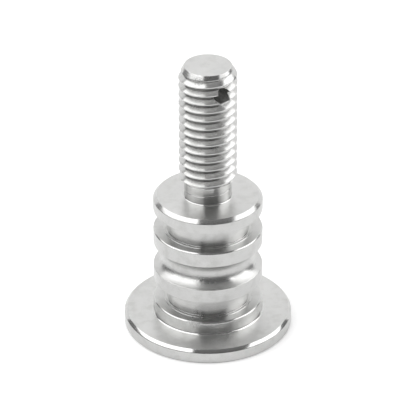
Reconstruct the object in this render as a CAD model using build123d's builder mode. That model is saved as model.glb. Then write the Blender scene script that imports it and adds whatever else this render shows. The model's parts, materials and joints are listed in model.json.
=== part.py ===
import os

from build123d import *

# Pivot bolt, turned from one bar of stainless steel. A thin round head carries a
# shoulder with three ring grooves, and an M8 stud with a cross hole stands on it.
# Sizes are in millimetres. The origin is the middle of the head's underside, where
# the bolt stands, and +Z runs up the stud.

# Round head
head_diameter = 23.2
head_thickness = 2.0
head_top_chamfer = 0.4
head_foot_chamfer = 0.15

# Shoulder: four lands of one diameter, from the head upwards, with three grooves
# between them. The outer two grooves are square and the middle one is round.
shoulder_diameter = 15.0
base_land_height = 1.95
lower_land_height = 2.0
upper_land_height = 2.15
top_land_height = 2.0
square_groove_diameter = 11.2
lower_groove_width = 3.2
upper_groove_width = 3.05
round_groove_width = 3.65
round_groove_depth = 1.45

# Edges that the lathe tool leaves on the shoulder, and the radius at its foot
land_chamfer = 0.15
land_edge_break = 0.08
shoulder_chamfer = 0.5
shoulder_foot_fillet = 0.3

# Stud: a turned relief, then the major diameter of an M8 x 1.25 thread, which a
# short taper leads into from the end
relief_diameter = 6.5
relief_length = 2.6
relief_fillet = 0.2
thread_diameter = 7.9
thread_length = 17.1
thread_start_chamfer = 0.45
stud_end_diameter = 6.4
stud_end_taper = 1.3

# Cross hole drilled through the end of the stud, for a split pin or a locking wire
pin_hole_diameter = 2.2
pin_hole_drop = 3.15
pin_hole_turn = 34

# Radii that the half-section steps between
head_r = head_diameter / 2
shoulder_r = shoulder_diameter / 2
square_groove_r = square_groove_diameter / 2
round_groove_r = (round_groove_width**2 / 4 + round_groove_depth**2) / (2 * round_groove_depth)
relief_r = relief_diameter / 2
thread_r = thread_diameter / 2
stud_end_r = stud_end_diameter / 2

# Heights of the steps above the underside of the head
base_land_top = head_thickness + base_land_height
lower_land_foot = base_land_top + lower_groove_width
lower_land_top = lower_land_foot + lower_land_height
upper_land_foot = lower_land_top + round_groove_width
upper_land_top = upper_land_foot + upper_land_height
top_land_foot = upper_land_top + upper_groove_width
shoulder_top = top_land_foot + top_land_height
thread_start = shoulder_top + relief_length
stud_top = thread_start + thread_length


def corner(section, radius, height):
    return section.vertices().sort_by_distance((radius, height))[0]


with BuildPart() as pivot_bolt:
    # Half-section of the bar between the axis and its outer steps
    with BuildSketch(Plane.XZ) as section:
        with BuildLine():
            Polyline(
                (0, 0),
                (head_r, 0),
                (head_r, head_thickness),
                (shoulder_r, head_thickness),
                (shoulder_r, shoulder_top),
                (relief_r, shoulder_top),
                (relief_r, thread_start),
                (thread_r, thread_start),
                (thread_r, stud_top - stud_end_taper),
                (stud_end_r, stud_top),
                (0, stud_top),
                close=True,
            )
        make_face()

        # Two square grooves and the round one between them
        with Locations((square_groove_r, base_land_top)):
            Rectangle(shoulder_r, lower_groove_width, align=Align.MIN, mode=Mode.SUBTRACT)
        with Locations((square_groove_r, upper_land_top)):
            Rectangle(shoulder_r, upper_groove_width, align=Align.MIN, mode=Mode.SUBTRACT)
        round_groove_middle = shoulder_r - round_groove_depth + round_groove_r
        with Locations((round_groove_middle, lower_land_top + round_groove_width / 2)):
            Circle(round_groove_r, mode=Mode.SUBTRACT)

        # Chamfers and edge breaks, from the head to the start of the thread
        chamfer(corner(section, head_r, 0), head_foot_chamfer)
        chamfer(corner(section, head_r, head_thickness), head_top_chamfer)
        chamfer(corner(section, shoulder_r, base_land_top), land_chamfer)
        chamfer(corner(section, shoulder_r, lower_land_foot), land_edge_break)
        chamfer(corner(section, shoulder_r, upper_land_top), land_chamfer)
        chamfer(corner(section, shoulder_r, top_land_foot), land_edge_break)
        chamfer(corner(section, shoulder_r, shoulder_top), shoulder_chamfer)
        chamfer(corner(section, thread_r, thread_start), thread_start_chamfer)

        # Radii at the foot of the shoulder and at the foot of the stud
        fillet(corner(section, shoulder_r, head_thickness), shoulder_foot_fillet)
        fillet(corner(section, relief_r, shoulder_top), relief_fillet)
    revolve(axis=Axis.Z)

    # The drill goes in square to the stud's axis and out on the far side
    with BuildSketch(Plane.XZ.rotated((0, 0, pin_hole_turn))):
        with Locations((0, stud_top - pin_hole_drop)):
            Circle(pin_hole_diameter / 2)
    extrude(amount=thread_diameter, both=True, mode=Mode.SUBTRACT)

pivot_bolt.part.label = "pivot_bolt"

os.makedirs("parts", exist_ok=True)
export_step(pivot_bolt.part, "parts/pivot_bolt.step")
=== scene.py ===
import json
from math import asin, ceil, cos, pi, radians, sin, tan

import bmesh
import bpy
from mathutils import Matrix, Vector


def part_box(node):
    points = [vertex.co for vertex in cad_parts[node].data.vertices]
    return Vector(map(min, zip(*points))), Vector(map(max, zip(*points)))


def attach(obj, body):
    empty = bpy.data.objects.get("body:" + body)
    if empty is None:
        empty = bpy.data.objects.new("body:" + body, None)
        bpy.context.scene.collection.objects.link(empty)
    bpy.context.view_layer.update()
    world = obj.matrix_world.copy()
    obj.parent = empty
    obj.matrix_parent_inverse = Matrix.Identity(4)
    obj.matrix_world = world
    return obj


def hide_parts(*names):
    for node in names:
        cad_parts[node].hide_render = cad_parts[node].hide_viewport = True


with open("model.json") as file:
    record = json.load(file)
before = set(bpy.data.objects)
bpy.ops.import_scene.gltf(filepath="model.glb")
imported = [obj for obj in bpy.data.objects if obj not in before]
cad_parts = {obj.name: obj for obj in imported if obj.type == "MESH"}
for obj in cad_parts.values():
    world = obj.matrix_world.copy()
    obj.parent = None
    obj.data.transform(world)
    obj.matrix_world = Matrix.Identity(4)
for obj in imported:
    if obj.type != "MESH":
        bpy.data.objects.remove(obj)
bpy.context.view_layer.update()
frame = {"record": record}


# ---- The turned bar --------------------------------------------------------------
# Head, shoulder and stud are one bar of bright stainless steel, turned in a lathe.
# The half-section runs from the middle of the head's underside out over the three
# ring grooves and up to the end of the stud. The tool leaves a small round on each edge.

MM = 0.001

bolt_low, bolt_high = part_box("pivot_bolt")
mount = {m["name"]: m for m in frame["record"]["mounts"]}

head_r = min(bolt_high.x, bolt_high.y, -bolt_low.x, -bolt_low.y)
head_top = mount["head_seat"]["pos_m"][2]
head_top_chamfer = 0.4 * MM
head_foot_chamfer = 0.15 * MM

shoulder_r = mount["pivot_journal"]["dims"]["r_mm"] * MM
shoulder_top = mount["shoulder_face"]["pos_m"][2]
shoulder_chamfer = 0.5 * MM
land_chamfer = 0.15 * MM
square_groove_r = 5.6 * MM
square_groove_dish = 0.08 * MM
round_groove_width = 3.65 * MM
round_groove_depth = 1.45 * MM
base_land_top = head_top + 1.95 * MM
lower_land_foot = base_land_top + 3.2 * MM
round_groove_foot = lower_land_foot + 2.0 * MM
round_groove_top = round_groove_foot + round_groove_width
upper_land_top = round_groove_top + 2.15 * MM
top_land_foot = shoulder_top - 2.0 * MM

relief_r = 3.25 * MM
thread_start = shoulder_top + 2.6 * MM
thread_start_chamfer = 0.45 * MM
thread_r = mount["thread_stud"]["dims"]["r_mm"] * MM
stud_top = bolt_high.z
stud_end_r = 3.2 * MM
stud_end_taper = 1.3 * MM

edge_round = 0.05 * MM
chamfer_round = 0.25 * MM
land_round = 0.12 * MM
groove_corner_round = 0.05 * MM
groove_corner_width = 0.08 * MM
groove_corner_height = 0.14 * MM
groove_step_width = 0.4 * MM
groove_step_height = 0.08 * MM
groove_step_run = 0.056 * MM
groove_step_round = 0.025 * MM
foot_round = 0.3 * MM
relief_round = 0.2 * MM

sides = 256
round_groove_steps = 24
round_step = radians(20)


def round_groove(foot, width, depth, steps):
    """Points across a round-bottomed ring groove, from its lower edge to its upper one."""
    bend = (width ** 2 / 4 + depth ** 2) / (2 * depth)
    reach = asin(width / 2 / bend)
    floor_r = shoulder_r - depth
    middle = foot + width / 2
    points = []
    for step in range(1, steps):
        turn = reach * (2 * step / steps - 1)
        points.append((floor_r + bend * (1 - cos(turn)), middle + bend * sin(turn), 0))
    return points


def ring_floor(height):
    """Points along a square groove's floor: a low step up, a level run, a facet at the wall."""
    floor = height - square_groove_dish
    step_r = square_groove_r + groove_step_width
    return [
        (step_r + groove_step_run, floor - groove_step_height, groove_step_round),
        (step_r, floor, groove_step_round),
        (square_groove_r + groove_corner_width, floor, groove_corner_round),
        (square_groove_r, floor + groove_corner_height, groove_corner_round),
    ]


half_section = [
    (head_r - head_foot_chamfer, 0, edge_round),
    (head_r, head_foot_chamfer, edge_round),
    (head_r, head_top - head_top_chamfer, chamfer_round),
    (head_r - head_top_chamfer, head_top, edge_round),
    (shoulder_r, head_top, foot_round),
    (shoulder_r, base_land_top - land_chamfer, land_round),
    (shoulder_r - land_chamfer, base_land_top, edge_round),
    *ring_floor(base_land_top),
    (square_groove_r, lower_land_foot, groove_corner_round),
    (shoulder_r, lower_land_foot, edge_round),
    (shoulder_r, round_groove_foot, edge_round),
    *round_groove(round_groove_foot, round_groove_width, round_groove_depth, round_groove_steps),
    (shoulder_r, round_groove_top, edge_round),
    (shoulder_r, upper_land_top - land_chamfer, land_round),
    (shoulder_r - land_chamfer, upper_land_top, edge_round),
    *ring_floor(upper_land_top),
    (square_groove_r, top_land_foot, groove_corner_round),
    (shoulder_r, top_land_foot, edge_round),
    (shoulder_r, shoulder_top - shoulder_chamfer, chamfer_round),
    (shoulder_r - shoulder_chamfer, shoulder_top, edge_round),
    (relief_r, shoulder_top, relief_round),
    (relief_r, thread_start, edge_round),
    (thread_r - thread_start_chamfer, thread_start, edge_round),
    (thread_r, thread_start + thread_start_chamfer, edge_round),
    (thread_r, stud_top - stud_end_taper, edge_round),
    (stud_end_r, stud_top, edge_round),
]


def rounded(corners):
    """The section's points with each corner turned to its own small radius."""
    spots = [Vector((r, 0, z)) for r, z, _ in corners]
    spots = [Vector((0, 0, 0)), *spots, Vector((0, 0, stud_top))]
    points = []
    for before, corner, after, (_, _, radius) in zip(spots, spots[1:], spots[2:], corners):
        if radius == 0:
            points.append(corner)
            continue
        back = (before - corner).normalized()
        onward = (after - corner).normalized()
        half = back.angle(onward) / 2
        middle = corner + (back + onward).normalized() * radius / sin(half)
        steps = max(2, ceil((pi - 2 * half) / round_step))
        start = corner + back * radius / tan(half) - middle
        end = corner + onward * radius / tan(half) - middle
        for step in range(steps + 1):
            spread = (start * (steps - step) + end * step).normalized()
            points.append(middle + spread * radius)
    return points


def revolve(name, points, sides):
    """A closed turned body from the points of its half-section, foot first."""
    turned = bmesh.new()
    foot = turned.verts.new((0, 0, points[0].z))
    rings = []
    for point in points:
        ring = []
        for side in range(sides):
            turn = 2 * pi * side / sides
            ring.append(turned.verts.new((point.x * cos(turn), point.x * sin(turn), point.z)))
        rings.append(ring)
    top = turned.verts.new((0, 0, points[-1].z))
    for side in range(sides):
        following = (side + 1) % sides
        turned.faces.new((foot, rings[0][following], rings[0][side]))
        turned.faces.new((top, rings[-1][side], rings[-1][following]))
        for lower, upper in zip(rings, rings[1:]):
            turned.faces.new((lower[side], lower[following], upper[following], upper[side]))
    mesh = bpy.data.meshes.new(name)
    turned.to_mesh(mesh)
    turned.free()
    body = bpy.data.objects.new(name, mesh)
    bpy.context.scene.collection.objects.link(body)
    return body


bolt = revolve("pivot_bolt_turned", rounded(half_section), sides)


# ---- The thread ------------------------------------------------------------------
# A right-hand M8 x 1.25 thread cut along the stud. The tool cuts one 60 degree groove
# with a round root, from the relief at the stud's foot out past its end.

thread_pitch = 1.25 * MM
thread_flank = radians(30)
thread_root_r = 3.2 * MM
thread_crest_width = 0.16 * MM
thread_crest_round = 0.04 * MM
thread_crest_sink = 0.93 * thread_crest_round
thread_front_height = 37.63 * MM
thread_clearance = 0.3 * MM
groove_start_height = shoulder_top + 0.9 * MM
groove_end_height = stud_top + 0.8 * MM
groove_steps_a_turn = 180
groove_round_steps = 4


def groove_outline():
    """One side of the groove from its root to its mouth, as (radius, half width)."""
    mouth = (thread_pitch - thread_crest_width) / 2
    apex_r = thread_r - mouth / tan(thread_flank)
    root_round = (thread_root_r - apex_r) / (1 / sin(thread_flank) - 1)
    root_centre_r = thread_root_r + root_round
    turn = pi / 2 - thread_flank
    crest_centre_r = thread_r - thread_crest_sink
    crest_centre_w = mouth + thread_crest_round * tan(turn / 2)
    points = []
    for step in range(groove_round_steps + 1):
        angle = turn * step / groove_round_steps
        points.append((root_centre_r - root_round * cos(angle), root_round * sin(angle)))
    for step in range(groove_round_steps + 1):
        angle = turn * (1 - step / groove_round_steps)
        points.append((
            crest_centre_r + thread_crest_round * cos(angle),
            crest_centre_w - thread_crest_round * sin(angle),
        ))
    points.append((thread_r + thread_clearance, crest_centre_w))
    return points


def groove_tool():
    """The solid that the thread tool sweeps out, one helix from foot to end."""
    side = groove_outline()
    section = [(r, -w) for r, w in reversed(side)] + [(r, w) for r, w in side[1:]]
    first = ceil((groove_start_height - thread_front_height) / thread_pitch * groove_steps_a_turn)
    last = ceil((groove_end_height - thread_front_height) / thread_pitch * groove_steps_a_turn)
    tool = bmesh.new()
    rings = []
    for step in range(first, last + 1):
        turns = step / groove_steps_a_turn
        height = thread_front_height + thread_pitch * turns
        across = sin(2 * pi * turns)
        back = -cos(2 * pi * turns)
        rings.append([tool.verts.new((r * across, r * back, height + w)) for r, w in section])
    for ring, following in zip(rings, rings[1:]):
        for spot in range(len(section)):
            beside = (spot + 1) % len(section)
            tool.faces.new((ring[spot], ring[beside], following[beside], following[spot]))
    tool.faces.new(reversed(rings[0]))
    tool.faces.new(rings[-1])
    bmesh.ops.recalc_face_normals(tool, faces=tool.faces)
    mesh = bpy.data.meshes.new("thread_tool")
    tool.to_mesh(mesh)
    tool.free()
    return bpy.data.objects.new("thread_tool", mesh)


# ---- The cross hole --------------------------------------------------------------
# Drilled square through the end of the stud after the thread is cut, for a split pin
# or a locking wire. It breaks into the thread on both sides.

pin_hole_r = mount["pin_hole"]["dims"]["r_mm"] * MM
pin_hole_centre = Vector(mount["pin_hole"]["pos_m"])
pin_hole_axis = Vector(mount["pin_hole"]["axis"])
pin_hole_sides = 64
drill_length = 4 * thread_r
sharp_edge = radians(32)


def pin_drill():
    """The drill, right through the stud along the pin hole's axis."""
    drill = bmesh.new()
    bmesh.ops.create_cone(
        drill,
        cap_ends=True,
        segments=pin_hole_sides,
        radius1=pin_hole_r,
        radius2=pin_hole_r,
        depth=drill_length,
    )
    mesh = bpy.data.meshes.new("pin_drill")
    drill.to_mesh(mesh)
    drill.free()
    tool = bpy.data.objects.new("pin_drill", mesh)
    tool.rotation_mode = "QUATERNION"
    tool.rotation_quaternion = pin_hole_axis.to_track_quat("Z", "Y")
    tool.location = pin_hole_centre
    return tool


def settle(piece):
    """Applies the piece's modifiers, so that its mesh is the finished shape."""
    ready = piece.evaluated_get(bpy.context.evaluated_depsgraph_get())
    rough = piece.data
    piece.data = bpy.data.meshes.new_from_object(ready)
    piece.modifiers.clear()
    bpy.data.meshes.remove(rough)


for tool in (groove_tool(), pin_drill()):
    bpy.context.scene.collection.objects.link(tool)
    cut = bolt.modifiers.new(tool.name, "BOOLEAN")
    cut.operation = "DIFFERENCE"
    cut.solver = "MANIFOLD"
    cut.object = tool
    settle(bolt)
    bpy.data.objects.remove(tool)

bolt.data.name = bolt.name
bolt.data.shade_smooth()
bolt.data.set_sharp_from_angle(angle=sharp_edge)
bolt.modifiers.new("even_shading", "WEIGHTED_NORMAL").keep_sharp = True
settle(bolt)


# ---- The finish of turned steel ---------------------------------------------------
# The tool leaves fine rings round the axis, so the steel mirrors the room sharply
# round the bolt and blurs it along the bolt. Painted shade darkens the thread's root and
# the square grooves' floors, a painted contact shadow runs round the foot, the drilled
# hole is dull inside, and handling has scuffed a few places.

steel_colour = (0.62, 0.62, 0.613)
worn_colour = (0.565, 0.565, 0.555)
# Painted shade for the square grooves' floors and feet
groove_shade_colour = (0.41, 0.41, 0.405)
# Painted shade for the thread's root and painted contact shadow for the foot
root_and_foot_shade_colour = (0.2, 0.2, 0.195)
drilled_colour = (0.5, 0.5, 0.49)

base_roughness = 0.15
wall_roughness = 0.23
lip_roughness = 0.34
neck_roughness = 0.15
thread_roughness = 0.24
head_roughness = 0.35
head_rim_roughness = 0.46
groove_roughness = 0.3
flat_roughness = 0.3
drilled_roughness = 0.4
scuff_roughness = 0.2
worn_roughness = 0.04
wall_grain = 0.85
flat_grain = 0.35
grain_turn = 0.25

# How level a face is where a wall's finish ends and a flat's begins, and the heights
# and widths over which one finish runs into the next
flat_slope = (0.95, 0.995)
base_blend = 0.3 * MM
step_blend = 0.1 * MM
flat_blend = 0.5 * MM
lip_start = 0.02 * MM
lip_height = 0.9 * MM
drilled_blend = 0.022 * MM

# Where the painted shade in the thread's root, the painted contact shadow at the foot
# and the painted shade in the grooves fade in or out, each between two heights, depths
# or places, and how much of the root's painted shade is left on its far side
root_shade_depth = (0.032 * MM, 0.16 * MM)
root_shade_start = (0, 0.1 * MM)
root_shade_end = (-stud_end_taper, -0.5 * stud_end_taper)
root_shade_side = (0.2 * thread_r, 0.55 * thread_r)
root_shade_far_side = 0.15
foot_shadow_height = (0.084 * MM, 0.14 * MM)
groove_shade_foot = (-0.4 * MM, -0.3 * MM)
groove_shade_top = (0.5 * MM, 1.1 * MM)
groove_shade_edge = (-2 * land_chamfer, -land_chamfer)
groove_shade_left = (-5.3 * MM, -4.4 * MM)
groove_shade_right = (-0.9 * MM, -0.1 * MM)

# Rings, wear and scuffs: how many to the metre, and the heights of the first and the
# last in microns
micron = 0.001 * MM
ring_noise = {"Scale": 3500, "Detail": 3}
ring_height = 6
wear_noise = {"Scale": 700, "Detail": 5, "Roughness": 0.6}
wear_contrast = (0.42, 0.7)
scuff_noise = {"Scale": 3600, "Detail": 3}
scuff_contrast = (0.38, 0.62)
scuff_height = 45
drilled_scuff = 0.8

# Each scuffed place: its middle, its reach, and its strength
scuffs = [
    ((2.1 * MM, -9.0 * MM, head_top), 3.0 * MM, 0.5),
    ((-1.7 * MM, -6.5 * MM, base_land_top), 1.6 * MM, 1),
    ((-1.0 * MM, -6.0 * MM, round_groove_foot + 0.9 * MM), 2.2 * MM, 0.15),
    ((-1.5 * MM, -3.4 * MM, stud_top - 0.7 * MM), 0.9 * MM, 1),
]
scuff_core = 0.3


def add_node(tree, kind, inputs, **settings):
    """Adds a node with its settings, and sets or links its inputs."""
    node = tree.nodes.new(kind)
    for name, value in settings.items():
        setattr(node, name, value)
    for name, value in inputs.items():
        if isinstance(value, bpy.types.NodeSocket):
            tree.links.new(value, node.inputs[name])
        else:
            node.inputs[name].default_value = value
    return node.outputs


def ramp(tree, value, start, end, low, high):
    """A smooth step from low to high while the value goes from start to end."""
    inputs = {"Value": value, "From Min": start, "From Max": end, "To Min": low, "To Max": high}
    return add_node(tree, "ShaderNodeMapRange", inputs, interpolation_type="SMOOTHSTEP")[0]


def combine(tree, operation, *values):
    """One value from two or three, by a sum, difference, product, power or maximum."""
    return add_node(tree, "ShaderNodeMath", dict(enumerate(values)), operation=operation)[0]


def vector_math(tree, operation, *values):
    """The outputs, "Vector" and "Value", of one step of reckoning with vectors."""
    return add_node(tree, "ShaderNodeVectorMath", dict(enumerate(values)), operation=operation)


def overlap(tree, first, *others):
    """Where all the masks lie over each other."""
    shared = first
    for mask in others:
        shared = combine(tree, "MULTIPLY", shared, mask)
    return shared


def fade(tree, mask, before, after):
    """A value that goes from one to the other as the mask goes from 0 to 1."""
    return add_node(tree, "ShaderNodeMix", {0: mask, 2: before, 3: after})[0]


def tint(tree, mask, before, after):
    """A colour that goes from one to the other as the mask goes from 0 to 1."""
    inputs = {0: mask, 6: before, 7: (*after, 1)}
    return add_node(tree, "ShaderNodeMix", inputs, data_type="RGBA")[2]


def turned_steel():
    """Bright stainless steel with the fine rings that a turning tool leaves."""
    material = bpy.data.materials.new("turned_steel")
    material.use_nodes = True
    tree = material.node_tree
    shader = tree.nodes["Principled BSDF"]

    place = add_node(tree, "ShaderNodeTexCoord", {})["Object"]
    sideways, _, height = add_node(tree, "ShaderNodeSeparateXYZ", {0: place})
    spoke = vector_math(tree, "MULTIPLY", place, (1, 1, 0))["Vector"]
    radius = vector_math(tree, "LENGTH", spoke)["Value"]
    facing = add_node(tree, "ShaderNodeNewGeometry", {})["Normal"]
    upright = add_node(tree, "ShaderNodeSeparateXYZ", {0: facing})["Z"]

    # Painted shade deep in the thread's root, full on the left and front and faint on the
    # right, and a painted contact shadow round the foot
    over_start = combine(tree, "SUBTRACT", height, thread_start)
    over_end = combine(tree, "SUBTRACT", height, stud_top)
    over_root = combine(tree, "SUBTRACT", radius, thread_root_r)
    above_start = ramp(tree, over_start, *root_shade_start, 0, 1)
    below_end = ramp(tree, over_end, *root_shade_end, 1, 0)
    deep = ramp(tree, over_root, *root_shade_depth, 1, 0)
    shade_fade_right = ramp(tree, sideways, *root_shade_side, 1, root_shade_far_side)
    painted_root_shade = overlap(tree, above_start, below_end, deep, shade_fade_right)
    painted_root_and_foot_shade = combine(tree, "MAXIMUM", painted_root_shade, ramp(tree, height, *foot_shadow_height, 1, 0))

    # Painted shade on the floors and feet of the two square grooves, on their front left side
    painted_groove_shade = 0
    for floor in (base_land_top, upper_land_top):
        over_floor = combine(tree, "SUBTRACT", height, floor)
        above_foot = ramp(tree, over_floor, *groove_shade_foot, 0, 1)
        below_top = ramp(tree, over_floor, *groove_shade_top, 1, 0)
        painted_groove_shade = combine(tree, "ADD", painted_groove_shade, overlap(tree, above_foot, below_top))
    over_land = combine(tree, "SUBTRACT", radius, shoulder_r)
    inside = ramp(tree, over_land, *groove_shade_edge, 1, 0)
    past_left = ramp(tree, sideways, *groove_shade_left, 0, 1)
    before_right = ramp(tree, sideways, *groove_shade_right, 1, 0)
    painted_groove_shade = overlap(tree, painted_groove_shade, inside, past_left, before_right)

    # The drilled hole, by the distance from the drill's axis
    from_hole = vector_math(tree, "SUBTRACT", place, pin_hole_centre)["Vector"]
    across_axis = vector_math(tree, "CROSS_PRODUCT", from_hole, pin_hole_axis)["Vector"]
    off_axis = vector_math(tree, "LENGTH", across_axis)["Value"]
    drilled = ramp(tree, off_axis, pin_hole_r, pin_hole_r + drilled_blend, 1, 0)

    # Scuffed places, each fading out from its middle, and the marks of the drill
    scuffed = combine(tree, "MULTIPLY", drilled, drilled_scuff)
    for middle, reach, strength in scuffs:
        away = vector_math(tree, "DISTANCE", place, middle)["Value"]
        near = ramp(tree, away, scuff_core * reach, reach, strength, 0)
        scuffed = combine(tree, "MAXIMUM", scuffed, near)
    marks = add_node(tree, "ShaderNodeTexNoise", {0: place, **scuff_noise})[0]
    marks = overlap(tree, scuffed, ramp(tree, marks, *scuff_contrast, 0, 1))

    # Wear from handling, in soft patches all over
    worn = add_node(tree, "ShaderNodeTexNoise", {0: place, **wear_noise})[0]
    worn = ramp(tree, worn, *wear_contrast, 0, 1)

    colour = (*steel_colour, 1)
    colour = tint(tree, worn, colour, worn_colour)
    # Painted shade darkens the square grooves
    colour = tint(tree, painted_groove_shade, colour, groove_shade_colour)
    # Painted shade darkens the thread's root, and a painted contact shadow the foot
    colour = tint(tree, painted_root_and_foot_shade, colour, root_and_foot_shade_colour)
    colour = tint(tree, drilled, colour, drilled_colour)
    tree.links.new(colour, shader.inputs["Base Color"])

    # Walls from the foot up: base land, shoulder, groove's lower lip, neck and thread
    rough = ramp(tree, height, base_land_top - base_blend, base_land_top, base_roughness, wall_roughness)
    over_lip = combine(tree, "SUBTRACT", height, round_groove_foot)
    past_lip = ramp(tree, over_lip, 0, lip_start, 0, 1)
    near_lip = ramp(tree, over_lip, lip_start, lip_height, 1, 0)
    rough = fade(tree, overlap(tree, past_lip, near_lip), rough, lip_roughness)
    for foot, its_roughness in ((shoulder_top, neck_roughness), (thread_start, thread_roughness)):
        above = ramp(tree, height, foot, foot + step_blend, 0, 1)
        rough = fade(tree, above, rough, its_roughness)

    # Flats from the foot up: head, floors of the grooves, ends of shoulder and stud
    in_grooves = ramp(tree, height, head_top, base_land_top - flat_blend, 0, 1)
    at_ends = ramp(tree, height, upper_land_top + flat_blend, shoulder_top, 0, 1)
    head_start = shoulder_r + flat_blend
    head_end = head_r - flat_blend
    faced = ramp(tree, radius, head_start, head_end, head_roughness, head_rim_roughness)
    faced = fade(tree, in_grooves, faced, groove_roughness)
    faced = fade(tree, at_ends, faced, flat_roughness)
    rough = fade(tree, ramp(tree, upright, *flat_slope, 0, 1), rough, faced)

    rough = fade(tree, drilled, rough, drilled_roughness)
    rough = combine(tree, "MULTIPLY_ADD", marks, scuff_roughness, rough)
    rough = combine(tree, "MULTIPLY_ADD", worn, worn_roughness, rough)
    tree.links.new(rough, shader.inputs["Roughness"])
    grain = ramp(tree, upright, *flat_slope, wall_grain, flat_grain)
    tree.links.new(grain, shader.inputs["Anisotropic"])

    # The tool's rings follow the section, up the walls and out over the flats
    along = combine(tree, "ADD", radius, height)
    rings = add_node(tree, "ShaderNodeTexNoise", {"W": along, **ring_noise}, noise_dimensions="1D")[0]
    surface = combine(tree, "MULTIPLY", rings, ring_height)
    surface = combine(tree, "MULTIPLY_ADD", marks, scuff_height, surface)
    bump = add_node(tree, "ShaderNodeBump", {"Height": surface, "Distance": micron, "Strength": 1})[0]
    tree.links.new(bump, shader.inputs["Normal"])

    shader.inputs["Metallic"].default_value = 1
    shader.inputs["Anisotropic Rotation"].default_value = grain_turn
    lay = add_node(tree, "ShaderNodeTangent", {}, direction_type="RADIAL", axis="Z")[0]
    tree.links.new(lay, shader.inputs["Tangent"])
    return material


bolt.data.materials.clear()
bolt.data.materials.append(turned_steel())
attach(bolt, "root")
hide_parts("pivot_bolt")


# ---- The floor and the backdrop ----------------------------------------------------
# A plain white table with a white card standing at its back, which the bolt's flat
# faces mirror.

table_half_width = 2.0
table_front = -2.0
backdrop_back = 1.2
backdrop_half_width = 1.43
backdrop_height = 1.05
table_colour = (0.8, 0.8, 0.8)
table_lift = 0.38
table_mirror_lift = 0.25
backdrop_lift = 0.8


def studio_white(name, colour, lift, mirror_lift):
    """Matt white that the camera, metal and glass see a little brighter than it is lit."""
    material = bpy.data.materials.new(name)
    material.use_nodes = True
    tree = material.node_tree
    tree.nodes.clear()
    ray = add_node(tree, "ShaderNodeLightPath", {})
    in_metal_or_glass = combine(tree, "MAXIMUM", ray["Is Glossy Ray"], ray["Is Transmission Ray"])
    mirrored = combine(tree, "MULTIPLY", in_metal_or_glass, mirror_lift)
    strength = combine(tree, "MULTIPLY_ADD", ray["Is Camera Ray"], lift, mirrored)
    glow = add_node(tree, "ShaderNodeEmission", {"Strength": strength})[0]
    matt = add_node(tree, "ShaderNodeBsdfDiffuse", {"Color": (*colour, 1)})[0]
    both = add_node(tree, "ShaderNodeAddShader", {0: matt, 1: glow})[0]
    add_node(tree, "ShaderNodeOutputMaterial", {"Surface": both})
    return material


def card(name, corners, material):
    """One sheet that fans out from its last corner, part of the studio and not of the bolt."""
    last = len(corners) - 1
    mesh = bpy.data.meshes.new(name)
    mesh.from_pydata(corners, [], [(last, spot, spot + 1) for spot in range(last - 1)])
    mesh.materials.append(material)
    sheet = bpy.data.objects.new(name, mesh)
    bpy.context.scene.collection.objects.link(sheet)
    return sheet


card(
    "table",
    [
        (-table_half_width, table_front, 0),
        (table_half_width, table_front, 0),
        (table_half_width, backdrop_back, 0),
        (-table_half_width, backdrop_back, 0),
    ],
    studio_white("table_white", table_colour, table_lift, table_mirror_lift),
)
card(
    "backdrop",
    [
        (-backdrop_half_width, backdrop_back, 0),
        (backdrop_half_width, backdrop_back, 0),
        (backdrop_half_width, backdrop_back, backdrop_height),
        (-backdrop_half_width, backdrop_back, backdrop_height),
    ],
    studio_white("backdrop_white", table_colour, backdrop_lift, backdrop_lift),
)


# ---- Lamps and room ------------------------------------------------------------------
# Two large soft lamps hang over the bolt, left and right, with a darker gap between
# them, in a dim room that gets lighter overhead and behind. A lamp's corners are pairs
# of azimuth from the front and elevation, in degrees.

lamp_distance = 0.9
left_lamp_corners = [(-20, 28.5), (-50, 24), (-80, 20), (-116, 26), (171, 43)]
right_lamp_corners = [(50, 27), (98, 8), (160, 38), (157, 56)]
left_lamp_radiance = 2.08
right_lamp_radiance = 2.1
room_low = 0.13
room_high = 0.34
room_bright_side = (180, 60)
room_falloff = 2


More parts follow.
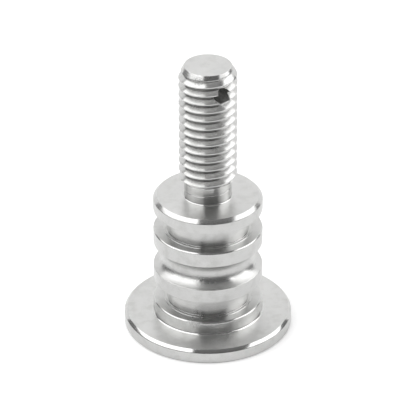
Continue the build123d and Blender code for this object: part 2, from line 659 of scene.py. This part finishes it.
def outward(azimuth, elevation):
    """The direction at an azimuth from the front towards +X, in degrees."""
    return Vector((
        sin(radians(azimuth)) * cos(radians(elevation)),
        -cos(radians(azimuth)) * cos(radians(elevation)),
        sin(radians(elevation)),
    ))


def soft_lamp(name, corners, radiance):
    """A glowing sheet seen from the bolt at the given azimuths and elevations."""
    material = bpy.data.materials.new(name)
    material.use_nodes = True
    tree = material.node_tree
    tree.nodes.clear()
    glow = add_node(tree, "ShaderNodeEmission", {"Strength": radiance})[0]
    add_node(tree, "ShaderNodeOutputMaterial", {"Surface": glow})
    aim = Vector((0, 0, stud_top / 2))
    sheet = card(name, [aim + outward(*corner) * lamp_distance for corner in corners], material)
    sheet.visible_camera = False
    return sheet


soft_lamp("left_lamp", left_lamp_corners, left_lamp_radiance)
soft_lamp("right_lamp", right_lamp_corners, right_lamp_radiance)

world = bpy.data.worlds.new("studio_room")
world.use_nodes = True
tree = world.node_tree
towards = add_node(tree, "ShaderNodeTexCoord", {})["Generated"]
bright = vector_math(tree, "DOT_PRODUCT", towards, outward(*room_bright_side))["Value"]
bright = combine(tree, "POWER", combine(tree, "MAXIMUM", bright, 0), room_falloff)
room = combine(tree, "MULTIPLY_ADD", bright, room_high, room_low)
background = tree.nodes["Background"]
background.inputs["Color"].default_value = (1, 1, 1, 1)
tree.links.new(room, background.inputs["Strength"])
bpy.context.scene.world = world
bpy.context.scene.view_settings.view_transform = "Standard"


# ---- Camera ---------------------------------------------------------------------------
# A long lens stands well back from the bolt's front and looks down at it at about
# thirty degrees, on to a spot a little under half its height.

lens_length = 252.2
sensor_width = 36
nearest = 0.01
camera_distance = 397.7 * MM
camera_elevation = radians(30.21)
aim_sideways = 0.0136 * MM
aim_height = 17.756 * MM

lens = bpy.data.cameras.new("camera")
lens.sensor_width = sensor_width
lens.lens = lens_length
lens.clip_start = nearest
camera = bpy.data.objects.new("camera", lens)
camera.location = (
    aim_sideways,
    -camera_distance * cos(camera_elevation),
    aim_height + camera_distance * sin(camera_elevation),
)
camera.rotation_euler = (pi / 2 - camera_elevation, 0, 0)
bpy.context.scene.collection.objects.link(camera)
bpy.context.scene.camera = camera
